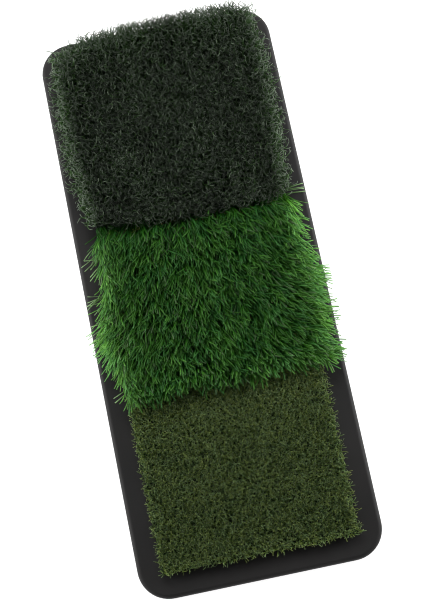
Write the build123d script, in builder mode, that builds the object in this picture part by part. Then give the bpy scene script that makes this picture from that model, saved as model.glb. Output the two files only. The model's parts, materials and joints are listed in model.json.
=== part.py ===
"""Golf hitting mat: a rubber base carrying three glued pieces of artificial turf.

Frame: origin at the centre of the underside, +X across the width, +Y along the length
from the short fairway turf towards the dense tee turf, +Z up. Millimetres.
"""
from build123d import *
import os

# --- base ---
base_length = 600.0
base_width = 250.0
base_thickness = 10.0
corner_radius = 32.0
top_edge_radius = 4.5
bottom_edge_chamfer = 0.8

# --- moulded grip on the underside: a lattice of lands between shallow square pockets ---
grip_pitch = 25.0
grip_land = 8.0
grip_pocket_radius = 2.0
grip_depth = 0.8
grip_columns = 8
grip_rows = 22

# --- turf pieces, cut to one width and laid end to end ---
turf_width = 200.0
turf_total_length = 550.0
turf_gap = 0.5
turf_count = 3

# --- layers under each pile, from the base upwards ---
adhesive_thickness = 0.4
adhesive_inset = 4.0
secondary_backing_thickness = 1.2
primary_backing_thickness = 0.6

# --- piles: height above the backing, and how far the free sides splay outwards at the top ---
fairway_height = 13.0
fairway_splay = 3.0
rough_height = 32.0
rough_splay = 17.0
rough_overhang = 12.0
rough_clearance = 1.0
tee_height = 28.0
tee_splay = 13.0
pile_edge_chamfer = 3.0

# --- rough turf: curly thatch between the stitch rows of the long blades ---
thatch_height = 12.0
stitch_row_pitch = 20.0
stitch_row_count = 10
stitch_row_thickness = 3.0
stitch_row_fit = 0.2

# --- derived ---
turf_length = (turf_total_length - (turf_count - 1) * turf_gap) / turf_count
turf_pitch = turf_length + turf_gap
fairway_y = -turf_pitch
rough_y = 0.0
tee_y = turf_pitch
secondary_backing_z = base_thickness + adhesive_thickness
primary_backing_z = secondary_backing_z + secondary_backing_thickness
pile_z = primary_backing_z + primary_backing_thickness
half_width = turf_width / 2
half_length = turf_length / 2


def save(part, name):
    """Label a finished piece and write it as its own STEP file."""
    part.label = name
    export_step(part, f"parts/{name}.step")


def layer(centre_y, bottom_z, thickness, inset=0.0):
    """One flat rectangular layer of a turf piece."""
    with BuildPart() as sheet:
        with BuildSketch(Plane.XY.offset(bottom_z)):
            with Locations((0, centre_y)):
                Rectangle(turf_width - 2 * inset, turf_length - 2 * inset)
        extrude(amount=thickness)
    return sheet.part


def pile_block(side_outline, bottom_z, top_z, splay):
    """A pile solid: its side outline across the mat, cut to an end-on outline that splays out."""
    with BuildPart() as block:
        with BuildSketch(Plane.YZ.offset(-base_width / 2)):
            with BuildLine():
                Polyline(*side_outline, close=True)
            make_face()
        extrude(amount=base_width)
        with BuildSketch(Plane.XZ):
            with BuildLine():
                Polyline(
                    (-half_width, bottom_z),
                    (half_width, bottom_z),
                    (half_width + splay, top_z),
                    (-half_width - splay, top_z),
                    close=True,
                )
            make_face()
        extrude(amount=base_length / 2, both=True, mode=Mode.INTERSECT)
        chamfer(block.faces().sort_by(Axis.Z)[-1].edges(), pile_edge_chamfer)
    return block.part


os.makedirs("parts", exist_ok=True)

# --- rubber base: rounded slab with a soft top edge and a pocketed underside ---
with BuildPart() as rubber_base:
    with BuildSketch():
        RectangleRounded(base_width, base_length, corner_radius)
    extrude(amount=base_thickness)
    fillet(rubber_base.faces().sort_by(Axis.Z)[-1].edges(), top_edge_radius)
    chamfer(rubber_base.faces().sort_by(Axis.Z)[0].edges(), bottom_edge_chamfer)
    with BuildSketch():
        with GridLocations(grip_pitch, grip_pitch, grip_columns, grip_rows):
            RectangleRounded(grip_pitch - grip_land, grip_pitch - grip_land, grip_pocket_radius)
    extrude(amount=grip_depth, mode=Mode.SUBTRACT)
save(rubber_base.part, "rubber_base")

# --- glue and backing layers, the same under each turf piece ---
for turf_name, turf_y in (("fairway", fairway_y), ("rough", rough_y), ("tee", tee_y)):
    save(
        layer(turf_y, base_thickness, adhesive_thickness, adhesive_inset),
        f"{turf_name}_turf_adhesive",
    )
    save(
        layer(turf_y, secondary_backing_z, secondary_backing_thickness),
        f"{turf_name}_turf_secondary_backing",
    )
    save(
        layer(turf_y, primary_backing_z, primary_backing_thickness),
        f"{turf_name}_turf_primary_backing",
    )

# --- fairway pile: low block, splayed at both sides and at the mat's near end ---
fairway_top = pile_z + fairway_height
fairway_outline = [
    (fairway_y - half_length, pile_z),
    (fairway_y + half_length, pile_z),
    (fairway_y + half_length, fairway_top),
    (fairway_y - half_length - fairway_splay, fairway_top),
]
with BuildPart() as fairway_turf_pile:
    add(pile_block(fairway_outline, pile_z, fairway_top, fairway_splay))
save(fairway_turf_pile.part, "fairway_turf_pile")

# --- rough blades: a block that leans out over the fairway, on ribs that are the stitch rows ---
rough_top = pile_z + rough_height
thatch_top = pile_z + thatch_height
overhang_z = fairway_top + rough_clearance
rough_outline = [
    (rough_y - half_length, thatch_top),
    (rough_y + half_length, thatch_top),
    (rough_y + half_length, rough_top),
    (rough_y - half_length - rough_overhang, rough_top),
    (rough_y - half_length - rough_overhang, overhang_z),
    (rough_y - half_length, overhang_z),
]
with BuildPart() as rough_turf_blades:
    add(pile_block(rough_outline, thatch_top, rough_top, rough_splay))
    with BuildSketch(Plane.XY.offset(pile_z)):
        with Locations((0, rough_y)):
            with GridLocations(stitch_row_pitch, 0, stitch_row_count, 1):
                Rectangle(stitch_row_thickness, turf_length)
    extrude(amount=thatch_height)
save(rough_turf_blades.part, "rough_turf_blades")

# --- rough thatch: strips of curly yarn that fill the space between the stitch rows ---
with BuildPart() as rough_turf_thatch:
    with BuildSketch(Plane.XY.offset(pile_z)):
        with Locations((0, rough_y)):
            Rectangle(turf_width, turf_length)
            with GridLocations(stitch_row_pitch, 0, stitch_row_count, 1):
                Rectangle(
                    stitch_row_thickness + 2 * stitch_row_fit, turf_length, mode=Mode.SUBTRACT
                )
    extrude(amount=thatch_height)
save(rough_turf_thatch.part, "rough_turf_thatch")

# --- tee pile: a dense block, splayed at both sides and at the mat's far end ---
tee_top = pile_z + tee_height
tee_outline = [
    (tee_y - half_length, pile_z),
    (tee_y + half_length, pile_z),
    (tee_y + half_length + tee_splay, tee_top),
    (tee_y - half_length, tee_top),
]
with BuildPart() as tee_turf_pile:
    add(pile_block(tee_outline, pile_z, tee_top, tee_splay))
save(tee_turf_pile.part, "tee_turf_pile")
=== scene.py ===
"""Golf hitting mat: a rubber base with fairway, rough and tee turf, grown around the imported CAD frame.

Metres, +X across the mat, +Y from the fairway towards the tee turf, +Z up.
"""
import json

import bpy
import numpy as np
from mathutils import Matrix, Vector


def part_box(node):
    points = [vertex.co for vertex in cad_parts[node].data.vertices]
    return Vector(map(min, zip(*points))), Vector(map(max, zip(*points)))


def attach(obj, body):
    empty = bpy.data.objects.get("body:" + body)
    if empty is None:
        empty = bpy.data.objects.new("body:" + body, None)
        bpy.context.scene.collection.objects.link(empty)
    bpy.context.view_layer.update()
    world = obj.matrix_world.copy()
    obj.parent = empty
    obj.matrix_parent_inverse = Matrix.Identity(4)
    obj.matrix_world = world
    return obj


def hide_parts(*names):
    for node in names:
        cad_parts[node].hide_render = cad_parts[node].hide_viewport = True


MM = 0.001

# --- camera and light ---
CAMERA_TILT = 12.398  # degrees off straight down, towards the fairway end
CAMERA_LEAN = -0.585  # degrees, sideways
CAMERA_TURN = -11.762  # degrees, about the view direction
CAMERA_DISTANCE = 1.5486
CAMERA_AIM = (4.5 * MM, -10.1 * MM)  # from the centre of the base's top
CAMERA_LENS = 89.53  # mm
CAMERA_SENSOR = 36.0  # mm, on the long side of the frame

COVE_LIGHT = 1.5  # brightness of the cove at the horizon, past the tee end
OVERHEAD_LIGHT = 0.14
CAMERA_SIDE_LIGHT = 0.6  # the cove's share at the fairway end
SOFTBOX_SIZE = 1.0
FLOOR_HALF_SIZE = 12.0  # its edge stays out of views from 15 degrees up
FLOOR_GREY = 0.40
FLOOR_GLOW = 0.94

# --- strands ---
TEE_LENGTH = 36.0 * MM  # along the curved strand, as are the other lengths
TEE_HALF_WIDTH = 0.40 * MM
TEE_RIM = 6 * MM  # the tee turf is stitched more densely this near to its edges
ROUGH_LENGTH = 38.0 * MM
ROUGH_HALF_WIDTH = 0.64 * MM
ROUGH_RIM = 7 * MM
ROUGH_FRONT_MARGIN = 4 * MM  # bare backing in front of the first row of blades
SIDE_REACH = 30 * MM  # how far past the turf's side the longest blades reach
FULL_FAN = 50  # degrees, about as far as the blades at a side turn out, strays apart
STRAY_TURN = 50  # degrees further out than the blades beside it
CORNER_STRAY_TURN = 75
STRAY_CUT = 7 * MM  # how much less far the stray blades reach
THATCH_LENGTH = 27.0 * MM
THATCH_HALF_WIDTH = 0.45 * MM
THATCH_MARGIN = np.array([8, 14, 0]) * MM  # kept free at the sides and at the ends
FAIRWAY_LENGTH = 14.0 * MM
FAIRWAY_HALF_WIDTH = 0.33 * MM
UV_MARGIN = 0.02  # keeps the colour chart off the edges of the UV square
UV_HALF_STEP = 0.003  # half the width of one strand on the colour chart


def rgb(r, g, b):
    """A colour with full alpha, from linear values."""
    return (r, g, b, 1.0)


def grey(level):
    """A neutral colour."""
    return rgb(level, level, level)


def unit(v):
    """Vectors along the last axis, scaled to length one."""
    return v / np.maximum(np.linalg.norm(v, axis=-1, keepdims=True), 1e-9)


# ---------------------------------------------------------------- materials
def new_material(name, roughness, specular):
    """A Principled material with plain roughness and specular, and its node tree."""
    mat = bpy.data.materials.new(name)
    mat.use_nodes = True
    shader = mat.node_tree.nodes["Principled BSDF"]
    shader.inputs["Roughness"].default_value = roughness
    shader.inputs["Specular IOR Level"].default_value = specular
    return mat, mat.node_tree, shader


def ramp(tree, source, stops):
    """A colour ramp fed by source, with (position, colour) stops."""
    node = tree.nodes.new("ShaderNodeValToRGB")
    elements = node.color_ramp.elements
    while len(elements) < len(stops):
        elements.new(0.5)
    for element, (position, colour) in zip(elements, stops):
        element.position = position
        element.color = colour
    tree.links.new(source, node.inputs["Fac"])
    return node.outputs["Color"]


def multiply(tree, a, b):
    """The product of two colours."""
    node = tree.nodes.new("ShaderNodeMix")
    node.data_type = "RGBA"
    node.blend_type = "MULTIPLY"
    node.inputs["Factor"].default_value = 1.0
    tree.links.new(a, node.inputs["A"])
    tree.links.new(b, node.inputs["B"])
    return node.outputs["Result"]


def noise(tree, scale, detail=3.0, stretch=(1.0, 1.0, 1.0)):
    """Noise in object space, with scale in features per metre."""
    coords = tree.nodes.new("ShaderNodeTexCoord")
    mapping = tree.nodes.new("ShaderNodeMapping")
    mapping.inputs["Scale"].default_value = stretch
    node = tree.nodes.new("ShaderNodeTexNoise")
    node.inputs["Scale"].default_value = scale
    node.inputs["Detail"].default_value = detail
    tree.links.new(coords.outputs["Object"], mapping.inputs["Vector"])
    tree.links.new(mapping.outputs["Vector"], node.inputs["Vector"])
    return node.outputs["Fac"]


def bump(tree, shader, height, strength, distance):
    """Bump from a height field."""
    node = tree.nodes.new("ShaderNodeBump")
    node.inputs["Strength"].default_value = strength
    node.inputs["Distance"].default_value = distance
    tree.links.new(height, node.inputs["Height"])
    tree.links.new(node.outputs["Normal"], shader.inputs["Normal"])


def mix(tree, factor, a, b):
    """A blend from colour a to colour b."""
    node = tree.nodes.new("ShaderNodeMix")
    node.data_type = "RGBA"
    tree.links.new(factor, node.inputs["Factor"])
    tree.links.new(a, node.inputs["A"])
    tree.links.new(b, node.inputs["B"])
    return node.outputs["Result"]


def math_node(tree, operation, source, *numbers):
    """A math node fed by source and then by plain numbers."""
    node = tree.nodes.new("ShaderNodeMath")
    node.operation = operation
    tree.links.new(source, node.inputs[0])
    for socket, number in zip(node.inputs[1:], numbers):
        socket.default_value = number
    return node.outputs["Value"]


def strand_material(name, families, roughness, specular):
    """Turf yarn, in one or more families of colour.

    A family is (darkest, lightest): the root-to-tip colours of its darkest and its lightest
    strands, darker low down as painted shade deep in the pile and paler at the tips as painted
    light. Along U of the colour chart lie the families side by side, each from dark to light.
    """
    mat, tree, shader = new_material(name, roughness, specular)
    chart = tree.nodes.new("ShaderNodeUVMap")
    chart.uv_map = "OFBake"
    split = tree.nodes.new("ShaderNodeSeparateXYZ")
    tree.links.new(chart.outputs["UV"], split.inputs["Vector"])
    colour = None
    for number, (darkest, lightest) in enumerate(families):
        tone = math_node(tree, "MULTIPLY_ADD", split.outputs["X"], len(families), -number)
        dark = ramp(tree, split.outputs["Y"], darkest)
        light = ramp(tree, split.outputs["Y"], lightest)
        blend = mix(tree, tone, dark, light)
        if number:
            chosen = math_node(tree, "GREATER_THAN", split.outputs["X"], number / len(families))
            blend = mix(tree, chosen, colour, blend)
        colour = blend
    tree.links.new(colour, shader.inputs["Base Color"])
    return mat


def rubber_material():
    """Matte black rubber: fine moulded grain, a cloudy tone and short pale scuffs."""
    mat, tree, shader = new_material("base_rubber", 0.6, 0.26)
    cloud = ramp(
        tree,
        noise(tree, 14.0),
        [(0.35, rgb(0.0125, 0.012, 0.012)), (0.65, rgb(0.0175, 0.0165, 0.0165))],
    )
    scuff = ramp(
        tree,
        noise(tree, 60.0, 2.0, (1.0, 0.12, 1.0)),
        [(0.70, grey(1.0)), (0.78, grey(1.7))],
    )
    tree.links.new(multiply(tree, cloud, scuff), shader.inputs["Base Color"])
    bump(tree, shader, noise(tree, 1400.0, 2.0), 0.25, 0.2 * MM)
    return mat


def woven_material():
    """Woven polypropylene tape: a fine checker of dark green and black, worn in places."""
    mat, tree, shader = new_material("woven_backing", 0.55, 0.3)
    coords = tree.nodes.new("ShaderNodeTexCoord")
    weave = tree.nodes.new("ShaderNodeTexChecker")
    weave.inputs["Scale"].default_value = 600.0
    weave.inputs["Color1"].default_value = rgb(0.020, 0.030, 0.020)
    weave.inputs["Color2"].default_value = rgb(0.008, 0.010, 0.008)
    tree.links.new(coords.outputs["Object"], weave.inputs["Vector"])
    worn = ramp(tree, noise(tree, 90.0), [(0.3, grey(0.75)), (0.7, grey(1.1))])
    tree.links.new(multiply(tree, weave.outputs["Color"], worn), shader.inputs["Base Color"])
    bump(tree, shader, weave.outputs["Fac"], 0.4, 0.2 * MM)
    return mat


def mottled_material(name, dark, light, roughness, scale):
    """Poured latex or brushed glue: mottled, with a soft uneven surface."""
    mat, tree, shader = new_material(name, roughness, 0.4)
    height = noise(tree, scale)
    tree.links.new(ramp(tree, height, [(0.3, dark), (0.7, light)]), shader.inputs["Base Color"])
    bump(tree, shader, height, 0.5, 0.3 * MM)
    return mat


def latex_material():
    """The latex coat that locks the tufts: nearly black."""
    return mottled_material("latex_backing", grey(0.012), grey(0.022), 0.5, 300.0)


def glue_material():
    """The glue under a turf: tan."""
    return mottled_material("turf_glue", rgb(0.42, 0.34, 0.18), rgb(0.60, 0.52, 0.32), 0.3, 120.0)


def tee_material():
    """Very dark green filaments: near black low down as painted shade, with greyish ends as painted
    sheen.
    """
    # painted shade: the lower filaments, deep in the pile, are coloured near black
    shade = rgb(0.001, 0.002, 0.001)
    darkest = [(0.0, shade), (0.74, shade), (0.86, rgb(0.004, 0.006, 0.004))]
    lightest = [
        (0.0, rgb(0.02, 0.05, 0.008)),
        (0.5, rgb(0.07, 0.19, 0.03)),
        (0.74, rgb(0.13, 0.27, 0.08)),
        (0.86, rgb(0.38, 0.48, 0.35)),
    ]
    return strand_material("tee_fibre", [(darkest, lightest)], 0.5, 0.15)


def rough_material():
    """Bright green blades: warm, cool and greyish ones, darker to the root as painted shade and paler to
    the tip as painted light; the greyish ones are painted sheen.
    """
    warm = (
        [(0.0, rgb(0.010, 0.074, 0.002)), (1.0, rgb(0.011, 0.070, 0.002))],
        [(0.0, rgb(0.06, 0.20, 0.015)), (0.6, rgb(0.15, 0.48, 0.035)), (1.0, rgb(0.38, 0.90, 0.18))],
    )
    cool = (
        [(0.0, rgb(0.0065, 0.066, 0.005)), (1.0, rgb(0.007, 0.062, 0.006))],
        [(0.0, rgb(0.04, 0.18, 0.025)), (0.6, rgb(0.12, 0.44, 0.07)), (1.0, rgb(0.34, 0.84, 0.22))],
    )
    # greyish blades with pale tips: painted sheen on the yarn
    greyish_sheen = (
        [(0.0, rgb(0.010, 0.032, 0.006)), (1.0, rgb(0.018, 0.050, 0.012))],
        [(0.0, rgb(0.08, 0.18, 0.05)), (0.6, rgb(0.24, 0.42, 0.15)), (1.0, rgb(0.50, 0.78, 0.36))],
    )
    return strand_material("rough_blade", [warm, cool, greyish_sheen], 0.5, 0.2)


def thatch_material():
    """Olive-brown yarn, darker at the root as painted shade under the blades."""
    darkest = [(0.0, rgb(0.05, 0.045, 0.012)), (1.0, rgb(0.08, 0.075, 0.02))]
    lightest = [(0.0, rgb(0.09, 0.10, 0.025)), (1.0, rgb(0.16, 0.17, 0.045))]
    return strand_material("thatch_yarn", [(darkest, lightest)], 0.6, 0.3)


def fairway_material():
    """Olive fibres and greyer green ones, darker towards the root as painted shade in the pile and pale
    at the tip as painted highlight.
    """
    olive = (
        [
            (0.0, rgb(0.008, 0.018, 0.002)),
            (0.6, rgb(0.012, 0.028, 0.003)),
            (1.0, rgb(0.020, 0.042, 0.004)),
        ],
        [
            (0.0, rgb(0.08, 0.14, 0.012)),
            (0.6, rgb(0.16, 0.24, 0.035)),
            (0.85, rgb(0.25, 0.33, 0.08)),
            (1.0, rgb(0.44, 0.54, 0.21)),
        ],
    )
    grey_green = (
        [
            (0.0, rgb(0.006, 0.018, 0.004)),
            (0.6, rgb(0.010, 0.028, 0.008)),
            (1.0, rgb(0.018, 0.040, 0.012)),
        ],
        [
            (0.0, rgb(0.07, 0.14, 0.02)),
            (0.6, rgb(0.13, 0.23, 0.06)),
            (0.85, rgb(0.22, 0.33, 0.12)),
            (1.0, rgb(0.43, 0.56, 0.29)),
        ],
    )
    return strand_material("fairway_fibre", [olive, grey_green], 0.5, 0.15)


# ---------------------------------------------------------------- strands
def integrate(roots, headings, lengths, steps):
    """Points along strands that leave roots and follow headings, spaced by steps of each length."""
    moves = unit(headings) * (lengths[:, None] * steps[None, :])[:, :, None]
    first = roots[:, None, :]
    return np.concatenate([first, first + np.cumsum(moves, axis=1)], axis=1)


def chart_place(tone, family=0, families=1):
    """Where strands lie along U of the colour chart, from their tone (0 to 1) and their family."""
    return (family + UV_MARGIN + (1 - 2 * UV_MARGIN) * np.clip(tone, 0, 1)) / families


def tube_faces(count, rings):
    """Closed three-sided tubes: the vertex of each face corner, and the corner each face starts at."""
    first = np.arange(count)[:, None, None] * rings * 3
    ring = np.arange(rings - 1)[None, :, None] * 3
    a = first + ring + np.array([0, 1, 2])
    b = first + ring + np.array([1, 2, 0])
    quads = np.stack([a, b, b + 3, a + 3], axis=-1).reshape(-1, 4)
    root_caps = first[:, 0] + np.array([2, 1, 0])
    tip_caps = first[:, 0] + (rings - 1) * 3 + np.array([0, 1, 2])
    triangles = np.concatenate([root_caps, tip_caps])
    quad_starts = np.arange(len(quads)) * 4
    triangle_starts = len(quads) * 4 + np.arange(len(triangles)) * 3
    loops = np.concatenate([quads.ravel(), triangles.ravel()])
    return loops, np.concatenate([quad_starts, triangle_starts])


def chart_corners(chart_u, rings):
    """The place on the colour chart of each vertex of such tubes, from root to tip along V."""
    u = chart_u[:, None, None] + UV_HALF_STEP * np.array([-1.0, 1.0, 0.0])[None, None, :]
    v = UV_MARGIN + (1 - 2 * UV_MARGIN) * np.linspace(0, 1, rings)[None, :, None]
    chart = np.stack(np.broadcast_arrays(u, v), axis=-1)
    return np.broadcast_to(chart, (len(chart_u), rings, 3, 2)).reshape(-1, 2)


def strand_mesh(name, spine, side, half_width, ridge, chart_u, mat):
    """Closed three-sided strands: two edges and a ridge, narrowing as half_width does.

    spine and side are (strand, ring, 3); half_width is (strand, ring); chart_u is one value a strand.
    """
    count, rings = spine.shape[:2]
    tangent = unit(np.gradient(spine, axis=1))
    side = unit(side - tangent * np.sum(side * tangent, axis=-1, keepdims=True))
    up = np.cross(side, tangent)
    up *= np.where(up[:, :, 2:] < 0, -1.0, 1.0)
    reach = half_width[:, :, None]
    corners = np.stack([spine - side * reach, spine + side * reach, spine + up * reach * ridge], axis=2)
    loops, starts = tube_faces(count, rings)

    mesh = bpy.data.meshes.new(name)
    mesh.vertices.add(count * rings * 3)
    mesh.vertices.foreach_set("co", corners.ravel().astype(np.float32))
    mesh.loops.add(len(loops))
    mesh.loops.foreach_set("vertex_index", loops.astype(np.int32))
    mesh.polygons.add(len(starts))
    mesh.polygons.foreach_set("loop_start", starts.astype(np.int32))
    mesh.update(calc_edges=True)
    mesh.polygons.foreach_set("use_smooth", np.ones(len(starts), dtype=bool))

    chart = chart_corners(chart_u, rings)[loops]
    mesh.uv_layers.new(name="OFBake").data.foreach_set("uv", chart.ravel().astype(np.float32))

    mesh.materials.append(mat)
    piece = bpy.data.objects.new(name, mesh)
    bpy.context.scene.collection.objects.link(piece)
    return piece


def stitch_grid(rng, low, high, pitch_x, pitch_y, per_tuft, spread):
    """Root points of tufts stitched in rows: (n, 2) points and the tuft number of each.

    A tuft has per_tuft strands, which stand within about spread of its middle.
    """
    columns = max(1, round((high[0] - low[0]) / pitch_x))
    rows = max(1, round((high[1] - low[1]) / pitch_y))
    x = low[0] + (np.arange(columns) + 0.5) * (high[0] - low[0]) / columns
    y = low[1] + (np.arange(rows) + 0.5) * (high[1] - low[1]) / rows
    tufts = np.stack(np.meshgrid(x, y, indexing="ij"), axis=-1).reshape(-1, 2)
    uneven = 0.3  # of the pitch, either way
    tufts += rng.uniform(-uneven, uneven, tufts.shape) * np.array([pitch_x, pitch_y])
    tuft = np.repeat(np.arange(len(tufts)), per_tuft)
    points = tufts[tuft] + rng.normal(0, spread, (len(tuft), 2))
    return np.clip(points, low[:2], high[:2]), tuft


def edge_push(points, low, high, left, right, front, back):
    """How far each point is pushed out over the edges, as (n, 2) leans.

    Each edge is (lean at the edge, distance over which it fades).
    """
    push = np.zeros_like(points)
    gaps = (points - low[:2], high[:2] - points)
    for axis, (low_edge, high_edge) in enumerate(((left, right), (front, back))):
        push[:, axis] -= low_edge[0] * np.exp(-gaps[0][:, axis] / low_edge[1])
        push[:, axis] += high_edge[0] * np.exp(-gaps[1][:, axis] / high_edge[1])
    return push


def edge_gap(points, low, high):
    """Distance from each point to the nearest side or end."""
    return np.minimum(points - low[:2], high[:2] - points).min(axis=1)


def patches(points, seed, size):
    """A smooth random field, about -1 to 1, that varies over size: worn and fuller patches."""
    rng = np.random.default_rng(seed)
    total = np.zeros(len(points))
    waves = 8
    for _ in range(waves):
        angle = rng.uniform(0, 2 * np.pi)
        wave = rng.uniform(0.6, 1.6) / size
        phase = rng.uniform(0, 2 * np.pi)
        along = points[:, 0] * np.cos(angle) + points[:, 1] * np.sin(angle)
        total += np.sin(2 * np.pi * wave * along + phase)
    return total / (waves / 2)


def place(pieces, node):
    """Pieces ride on the mat and stand for a CAD node, which they hide."""
    for piece in pieces:
        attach(piece, "root")
        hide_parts(node)


def strand_strips(name, strips, spine, side, half_width, ridge, chart_u, mat):
    """A pile as strips across the mat, each a piece of its own."""
    order = np.argsort(spine[:, 0, 0], kind="stable")
    pieces = []
    for number, part in enumerate(np.array_split(order, strips), start=1):
        shape = (spine[part], side[part], half_width[part], ridge)
        pieces.append(strand_mesh(f"{name}_{number}", *shape, chart_u[part], mat))
    return pieces


def middles(steps):
    """How far along a strand the middle of each of its steps lies, from 0 to 1."""
    return np.cumsum(steps) - steps / 2


def on_backing(points, low):
    """Root points, on top of a turf's woven backing."""
    return np.column_stack([points, np.full(len(points), low[2])])


def random_sides(rng, spine):
    """Strands turned a random way about the vertical."""
    facing = rng.uniform(0, 2 * np.pi, len(spine))
    side = np.stack([np.cos(facing), np.sin(facing), np.zeros(len(spine))], axis=-1)
    return np.broadcast_to(side[:, None, :], spine.shape)


def taper(spine, places, widths):
    """The width of each ring of a strand, from widths at places along it."""
    return np.interp(np.linspace(0, 1, spine.shape[1]), places, widths)


def turf_place(points, low, high):
    """Where points lie on a turf: across it, -1 to 1, and along it, 0 at its front to 1."""
    half = (high[0] - low[0]) / 2
    return points[:, 0] / half, (points[:, 1] - low[1]) / (high[1] - low[1])


# ---------------------------------------------------------------- the three turfs
def pile_root_box(turf):
    """Lowest and highest corner of the rectangle that a turf's tufts are rooted in."""
    low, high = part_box(f"{turf}_turf_primary_backing")
    return np.array([low.x, low.y, high.z]), np.array([high.x, high.y, high.z])


def tee_push(rng, points, low, high):
    """How the tee filaments flop out over the edges: less at the corners, least at the left ones."""
    across, along = turf_place(points, low, high)
    push = edge_push(
        points, low, high, (0.80, 5 * MM), (0.74, 5 * MM), (0.52, 18 * MM), (1.38, 16 * MM)
    )
    push[:, 0] *= rng.uniform(0.3, 1.2, len(points))
    push[:, 0] *= np.interp(along, [0, 0.15, 0.35, 0.85, 1], [0.40, 0.50, 0.95, 1, 0.45])
    push[:, 1] *= rng.uniform(0.7, 1.35, len(points))
    push[:, 1] *= np.interp(across, [-1, -0.9, -0.78, -0.25, 0.85, 1], [0.05, 0.11, 0.4, 1, 1, 0.6])
    return push


def tee_heading(rng, push, s):
    """Headings of filaments that lean as pushed, then curl round and nod over from halfway up."""
    count = len(push)
    lean = push + rng.normal(0, 0.07, (count, 2))
    curl = np.clip((s - 0.50) / 0.25, 0, 1)
    curl_rate = rng.uniform(4.0, 11.0, count) * rng.choice([-1.0, 1.0], count)
    curl_angle = rng.uniform(0, 2 * np.pi, count)[:, None] + curl_rate[:, None] * s
    crimp = 0.22 + 0.85 * curl * (1 - 0.5 * np.clip(np.abs(push[:, :1]), 0, 1))
    nod = rng.uniform(0, 2 * np.pi, count)[:, None] + 14.0 * s
    heading = np.empty((count, len(s), 3))
    heading[:, :, 0] = lean[:, 0, None] * (1.1 - 0.3 * s) + crimp * np.cos(curl_angle)
    heading[:, :, 1] = lean[:, 1, None] * (1.1 - 0.3 * s) + crimp * np.sin(curl_angle)
    heading[:, :, 2] = 1.0 - curl * (0.50 + 0.35 * np.sin(nod))
    return heading


def tee_tone(rng, spine, low, high):
    """Tones of the filaments: paler with their tips near or past a side, and along the back, as painted
    light on the pile's edges.
    """
    points = spine[:, 0, :2]
    across, along = turf_place(points, low, high)
    start = high[0] - np.interp(along, [0.2, 0.35], [7, 0]) * MM
    # painted side light: filaments whose tips reach a side are coloured paler
    painted_edge_light = np.clip((np.abs(spine[:, -1, 0]) - start) / (11 * MM), 0, 1)
    # painted light along the back edge of the pile
    painted_back_light = np.interp(across, [-1, -0.4, 0.2, 1], [0.27, 0.20, 0.10, 0.28])
    painted_back_light *= np.exp(-(high[1] - points[:, 1]) / (9 * MM))
    tone = rng.gamma(1.5, 0.060, len(points)) + 0.02 * patches(points, 3, 60 * MM)
    return tone + (0.34 * painted_edge_light * rng.uniform(0.6, 1.3, len(points)) + painted_back_light)


def tee_pile(mat):
    """Dense crimped filaments that curl over at their tips and flop out at the edges."""
    rng = np.random.default_rng(11)
    low, high = pile_root_box("tee")
    points, _ = stitch_grid(rng, low, high, 2.9 * MM, 2.4 * MM, 2, 1.2 * MM)
    extra, _ = stitch_grid(rng, low, high, 2.4 * MM, 2.0 * MM, 3, 0.8 * MM)
    points = np.concatenate([points, extra[edge_gap(extra, low, high) < TEE_RIM]])
    count = len(points)
    push = tee_push(rng, points, low, high)
    steps = np.array([0.24, 0.20, 0.13, 0.08, 0.065, 0.06, 0.06, 0.055, 0.055, 0.055])
    length = TEE_LENGTH * rng.uniform(0.93, 1.05, count)
    heading = tee_heading(rng, push, middles(steps))
    spine = integrate(on_backing(points, low), heading, length, steps)
    side = random_sides(rng, spine)
    half_width = TEE_HALF_WIDTH * rng.uniform(0.8, 1.2, count)[:, None]
    half_width = half_width * taper(spine, [0, 0.8, 1], [1.0, 0.9, 0.6])
    chart_u = chart_place(tee_tone(rng, spine, low, high))
    return strand_strips("tee_pile_strip", 6, spine, side, half_width, 1.3, chart_u, mat)


def rough_roots(rng, low, high):
    """Root points of the blades, and the tuft of each: rows all over, and more at the rim."""
    first = low + np.array([0, ROUGH_FRONT_MARGIN, 0])
    points, tuft = stitch_grid(rng, first, high, 8.0 * MM, 6.6 * MM, 15, 2.4 * MM)
    extra, extra_tuft = stitch_grid(rng, first, high, 6.0 * MM, 6.0 * MM, 13, 2.2 * MM)
    at_rim = (high[0] - np.abs(extra[:, 0]) < ROUGH_RIM) | (high[1] - extra[:, 1] < ROUGH_RIM)
    points = np.concatenate([points, extra[at_rim]])
    tuft = np.concatenate([tuft, tuft[-1] + 1 + extra_tuft[at_rim]])
    return points, tuft


def rough_strays(rng, tuft, across, along, at_edge):
    """Which blades stray out over the sides, and which of them are at the back right corner."""
    count = len(tuft)
    corner = (across > 0.93) & (along > 0.96) & (rng.uniform(0, 1, count) < 0.12)
    left_chance = np.interp(along, [0.74, 0.78, 0.90, 0.92], [0.10, 0.50, 0.50, 0])
    chance = np.where(across < 0, left_chance, 0.02)
    stray = rng.uniform(0, 1, tuft.max() + 1)[tuft] < chance
    stray = stray & (rng.uniform(0, 1, count) < 0.25)
    return (stray & (at_edge > 0.8)) | corner, corner


def rough_edge_fan(across, along, stray, corner):
    """Which way the blades at the sides point, in degrees from the fairway towards +X."""
    left = -np.interp(along, [0.13, 0.25, 0.40, 0.57, 0.73, 0.91], [-12, 25, 49, 22, -6, -6])
    right = np.interp(along, [0.13, 0.40, 0.57, 0.73, 0.91], [45, 47, 46, 27, 14])
    edge_fan = np.where(across < 0, left, right)
    edge_fan[stray] += np.where(corner[stray], CORNER_STRAY_TURN, STRAY_TURN) * np.sign(across[stray])
    return edge_fan


def rough_edges(points, low, high):
    """How near blades are to a side, the front and the back: 1 at that edge, and fading inwards."""
    push = edge_push(
        points, low, high, (1.0, 8 * MM), (1.0, 8 * MM), (1.0, 16 * MM), (1.0, 13 * MM)
    )
    return np.abs(push[:, 0]), np.clip(-push[:, 1], 0, 1), np.clip(push[:, 1], 0, 1)


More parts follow.
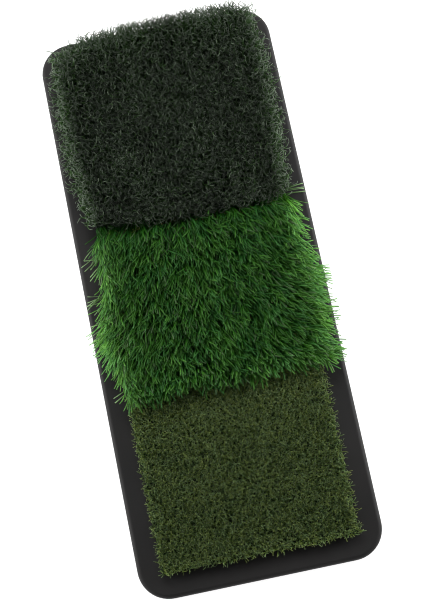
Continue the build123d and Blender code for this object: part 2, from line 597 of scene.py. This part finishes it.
def rough_chart(rng, points, tuft, low, high, stray):
    """Where blades lie on the colour chart: paler at the sides and the front as painted light, darker at
    the back as painted shade; strays and a few more are greyish, as painted sheen.
    """
    count = len(points)
    tufts = tuft.max() + 1
    across, along = turf_place(points, low, high)
    _, front, back = rough_edges(points, low, high)
    tone = rng.normal(0.036, 0.019, count) + rng.normal(0, 0.03, tufts)[tuft]
    # painted light at the front and painted shade at the back, next to the taller tee turf
    tone += 0.02 * patches(points, 5, 70 * MM) + 0.05 * front - 0.07 * back
    # painted side light: blades near a side, and the strays, are coloured paler
    left = np.interp(along, [0.1, 0.4, 0.6, 0.9], [0.2, 0.75, 0.5, 0.28])
    right = np.interp(along, [0.1, 0.3], [0.30, 0.55])
    side_gap = high[0] - np.abs(points[:, 0])
    tone += np.where(across < 0, left, right) * np.exp(-side_gap / (7 * MM)) + 0.3 * stray
    warm, cool, greyish_sheen = range(3)
    cool_share = rng.choice([0.1, 0.85], tufts, p=[0.65, 0.35])[tuft]
    draw = rng.uniform(0, 1, count)
    family = np.where(draw < cool_share, cool, warm)
    family[(draw > 0.94) | stray] = greyish_sheen
    return chart_place(tone, family, 3)


def rough_blades(mat):
    """Long flat blades in tufts that lean towards the fairway and fan out over the sides."""
    rng = np.random.default_rng(23)
    low, high = pile_root_box("rough")
    points, tuft = rough_roots(rng, low, high)
    count = len(points)
    tufts = tuft.max() + 1
    across, along = turf_place(points, low, high)
    at_edge = np.clip(2 * np.abs(across) - 1, 0, 1)
    stray, corner = rough_strays(rng, tuft, across, along, at_edge)
    edge_fan = rough_edge_fan(across, along, stray, corner)
    side, front, back = rough_edges(points, low, high)
    out = side * np.abs(edge_fan) / FULL_FAN

    # the way each blade points, and how far it leans from the vertical at its root and its tip
    fan = (6 + 30 * across) * (1 - at_edge) + edge_fan * at_edge
    fan += rng.normal(0, 16, tufts)[tuft] * (1 - 0.55 * at_edge)
    fan = np.radians(fan + rng.normal(0, 10, count) * (1 - 0.3 * at_edge))
    droop = rng.normal(0, 0.10, tufts)[tuft] + rng.normal(0, 0.16, count)
    start_tilt = np.clip(0.34 + 0.45 * out + 0.50 * back - 0.14 * front + 0.6 * droop, 0.03, 1.2)
    end_tilt = np.clip(1.36 + 0.24 * out + 0.20 * back - 0.40 * front + 1.2 * droop, 0.3, 1.65)
    steps = np.full(6, 1 / 6)
    s = middles(steps)
    tilt = start_tilt[:, None] + (end_tilt - start_tilt)[:, None] * s[None, :] ** 1.15
    length = ROUGH_LENGTH * rng.uniform(0.78, 1.08, count)
    turn = fan[:, None] + rng.normal(0, 0.34, count)[:, None] * s[None, :]
    heading = np.stack(
        [np.sin(tilt) * np.sin(turn), -np.sin(tilt) * np.cos(turn), np.cos(tilt)], axis=-1
    )

    # a blade that would reach too far past the side is shortened
    roots = on_backing(points, low)
    spine = integrate(roots, heading, length, steps)
    room = high[0] + SIDE_REACH - np.abs(points[:, 0]) - np.where(stray, STRAY_CUT, 0)
    reach = np.abs(spine[:, -1, 0]) - np.abs(points[:, 0])
    spine = integrate(roots, heading, length * np.clip(room / np.maximum(reach, MM), 0, 1), steps)

    # the flat of the blade lies across the way it points, twisted a little
    twist = rng.normal(0, 0.45, count)
    flat = np.stack([np.cos(fan), np.sin(fan), np.zeros(count)], axis=-1)
    edge = np.cos(twist)[:, None] * flat + np.sin(twist)[:, None] * np.array([0.0, 0.0, 1.0])
    side = np.broadcast_to(edge[:, None, :], spine.shape)
    breadth = rng.uniform(0.85, 1.15, count) * (1 - 0.2 * at_edge + 0.5 * front)
    half_width = ROUGH_HALF_WIDTH * breadth[:, None] * taper(spine, [0, 0.6, 1], [0.85, 1.0, 0.8])
    chart_u = rough_chart(rng, points, tuft, low, high, stray)
    return strand_strips("rough_blade_strip", 3, spine, side, half_width, 0.35, chart_u, mat)


def rough_thatch(mat):
    """Short curled yarn between the roots of the rough blades."""
    rng = np.random.default_rng(37)
    low, high = pile_root_box("rough")
    points, _ = stitch_grid(
        rng, low + THATCH_MARGIN, high - THATCH_MARGIN, 5.0 * MM, 5.0 * MM, 2, 1.2 * MM
    )
    count = len(points)
    steps = np.full(9, 1 / 9)
    turns = rng.uniform(1.2, 2.4, count) * rng.choice([-1.0, 1.0], count)
    phase = rng.uniform(0, 2 * np.pi, count)
    angle = phase[:, None] + 2 * np.pi * turns[:, None] * middles(steps)[None, :]
    heading = np.stack([np.cos(angle), np.sin(angle), np.full(angle.shape, 0.62)], axis=-1)
    length = THATCH_LENGTH * rng.normal(1.0, 0.12, count)
    spine = integrate(on_backing(points, low), heading, length, steps)
    side = np.broadcast_to(np.array([0.0, 0.0, 1.0]), spine.shape)
    half_width = np.full(spine.shape[:2], THATCH_HALF_WIDTH)
    chart_u = chart_place(rng.uniform(0, 1, count))
    return [strand_mesh("rough_thatch_curls", spine, side, half_width, 1.0, chart_u, mat)]


def fairway_chart(rng, points, low, high):
    """Where fibres lie on the colour chart: paler at the edges as painted light, and paler towards the
    rough as painted light that lifts the rough's shadow.
    """
    count = len(points)
    # painted light on the fibres at the edges
    painted_edge_light = np.exp(-edge_gap(points, low, high) / (2.5 * MM))
    tone = rng.normal(0.31, 0.25, count) + 0.04 * patches(points, 7, 50 * MM)
    tone += painted_edge_light * np.where(points[:, 0] > 0, 0.7, 0.5)
    # painted light towards the rough, in place of the shade cast by its overhanging blades
    tone += 0.7 * np.exp(-(high[1] - points[:, 1]) / (22 * MM))
    olive, grey_green = range(2)
    greyish = rng.uniform(0, 1, count) < 0.5 + 0.2 * patches(points, 9, 25 * MM)
    return chart_place(tone, np.where(greyish, grey_green, olive), 2)


def fairway_pile(mat):
    """Short fine fibres, lightly crimped, standing close together."""
    rng = np.random.default_rng(41)
    low, high = pile_root_box("fairway")
    points, _ = stitch_grid(rng, low, high, 2.1 * MM, 1.9 * MM, 3, 0.7 * MM)
    count = len(points)
    push = edge_push(
        points, low, high, (0.0, 3 * MM), (0.12, 3 * MM), (0.08, 3 * MM), (0.08, 3 * MM)
    )
    steps = np.array([0.34, 0.26, 0.22, 0.18])
    s = middles(steps)
    lean = push + rng.normal(0, 0.10, (count, 2))
    angle = rng.uniform(0, 2 * np.pi, count)[:, None] + rng.normal(0, 1.2, count)[:, None] * s
    bend = 0.05 + 0.65 * s[None, :] ** 2
    heading = np.empty((count, len(s), 3))
    heading[:, :, 0] = lean[:, 0, None] + bend * np.cos(angle)
    heading[:, :, 1] = lean[:, 1, None] + bend * np.sin(angle)
    heading[:, :, 2] = 1.0 - 0.4 * s
    length = FAIRWAY_LENGTH * rng.uniform(0.92, 1.06, count)
    spine = integrate(on_backing(points, low), heading, length, steps)
    side = random_sides(rng, spine)
    half_width = FAIRWAY_HALF_WIDTH * rng.uniform(0.8, 1.2, count)[:, None]
    half_width = half_width * taper(spine, [0, 0.7, 1], [1.0, 0.95, 0.5])
    chart_u = fairway_chart(rng, points, low, high)
    return strand_strips("fairway_pile_strip", 5, spine, side, half_width, 1.1, chart_u, mat)


# ---------------------------------------------------------------- stage
def floor_material():
    """Pale floor that gives off most of its own light, so that it stays close to white."""
    mat, _, shader = new_material("pale_floor", 0.9, 0.1)
    shader.inputs["Base Color"].default_value = grey(FLOOR_GREY)
    shader.inputs["Emission Color"].default_value = grey(1.0)
    shader.inputs["Emission Strength"].default_value = FLOOR_GLOW
    return mat


def make_floor():
    """A wide flat floor under the mat."""
    half = FLOOR_HALF_SIZE
    corners = [(-half, -half, 0), (half, -half, 0), (half, half, 0), (-half, half, 0)]
    mesh = bpy.data.meshes.new("floor")
    mesh.from_pydata(corners, [], [(0, 1, 2, 3)])
    mesh.materials.append(floor_material())
    floor = bpy.data.objects.new("floor", mesh)
    bpy.context.scene.collection.objects.link(floor)


def softbox(name, place_at, power):
    """A square area light of power watts that faces the mat, itself out of sight."""
    data = bpy.data.lights.new(name, "AREA")
    data.shape = "SQUARE"
    data.size = SOFTBOX_SIZE
    data.energy = power
    lamp = bpy.data.objects.new(name, data)
    lamp.location = place_at
    direction = -lamp.location.normalized()
    lamp.rotation_euler = direction.to_track_quat("-Z", "Y").to_euler()
    lamp.visible_camera = False
    bpy.context.scene.collection.objects.link(lamp)


def make_dome():
    """A white studio cove all round, dimmer overhead and on the camera's side."""
    world = bpy.data.worlds.new("studio")
    world.use_nodes = True
    tree = world.node_tree
    coords = tree.nodes.new("ShaderNodeTexCoord")
    split = tree.nodes.new("ShaderNodeSeparateXYZ")
    tree.links.new(coords.outputs["Generated"], split.inputs["Vector"])
    cove = [(0.0, COVE_LIGHT), (0.35, 0.45 * COVE_LIGHT), (0.8, OVERHEAD_LIGHT)]
    by_height = ramp(tree, split.outputs["Z"], [(height, grey(light)) for height, light in cove])
    by_side = ramp(tree, split.outputs["Y"], [(0.0, grey(CAMERA_SIDE_LIGHT)), (0.7, grey(1.0))])
    light = multiply(tree, by_height, by_side)
    tree.links.new(light, tree.nodes["Background"].inputs["Color"])
    bpy.context.scene.world = world


def make_lights():
    """Soft studio light: the dome, a softbox at each side and one above the tee end."""
    make_dome()
    softbox("left_softbox", (-1.4, 0.3, 0.55), 20.0)
    softbox("right_softbox", (1.4, 0.3, 0.55), 24.0)
    softbox("tee_end_softbox", (0.0, 1.1, 1.6), 16.0)
    bpy.context.scene.view_settings.view_transform = "Standard"
    bpy.context.scene.cycles.filter_width = 1.15


def make_camera():
    """The camera looks down on the mat from just past its fairway end."""
    low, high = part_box("rubber_base")
    data = bpy.data.cameras.new("camera")
    data.lens = CAMERA_LENS
    data.sensor_width = CAMERA_SENSOR
    camera = bpy.data.objects.new("camera", data)
    camera.rotation_mode = "ZYX"
    camera.rotation_euler = np.radians([CAMERA_TILT, CAMERA_LEAN, CAMERA_TURN])
    bpy.context.scene.collection.objects.link(camera)
    bpy.context.scene.camera = camera
    bpy.context.view_layer.update()
    aim = (low + high) / 2
    aim.x += CAMERA_AIM[0]
    aim.y += CAMERA_AIM[1]
    aim.z = high.z
    back = camera.matrix_world.to_3x3().col[2]
    camera.location = aim + back * CAMERA_DISTANCE


# ---------------------------------------------------------------- assembly
def dress_cad_nodes(frame):
    """Give the CAD meshes that stay in view the materials of their slots."""
    materials = {
        "base_rubber": rubber_material(),
        "woven_backing": woven_material(),
        "latex_backing": latex_material(),
        "turf_glue": glue_material(),
    }
    for entry in frame["record"]["subparts"]:
        if entry["material_slot"] in materials:
            for material_slot in frame["nodes"][entry["node"]].material_slots:
                material_slot.material = materials[entry["material_slot"]]


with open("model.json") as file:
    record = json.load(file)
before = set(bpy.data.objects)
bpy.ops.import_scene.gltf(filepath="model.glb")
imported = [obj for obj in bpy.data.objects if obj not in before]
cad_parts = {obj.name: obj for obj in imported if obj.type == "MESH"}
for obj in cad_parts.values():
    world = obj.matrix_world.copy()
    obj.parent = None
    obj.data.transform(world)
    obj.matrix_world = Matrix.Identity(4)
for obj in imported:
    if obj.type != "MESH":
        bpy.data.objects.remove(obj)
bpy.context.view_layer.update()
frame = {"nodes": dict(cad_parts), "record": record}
make_camera()
make_lights()
make_floor()
dress_cad_nodes(frame)
place(tee_pile(tee_material()), "tee_turf_pile")
place(rough_blades(rough_material()), "rough_turf_blades")
place(rough_thatch(thatch_material()), "rough_turf_thatch")
place(fairway_pile(fairway_material()), "fairway_turf_pile")
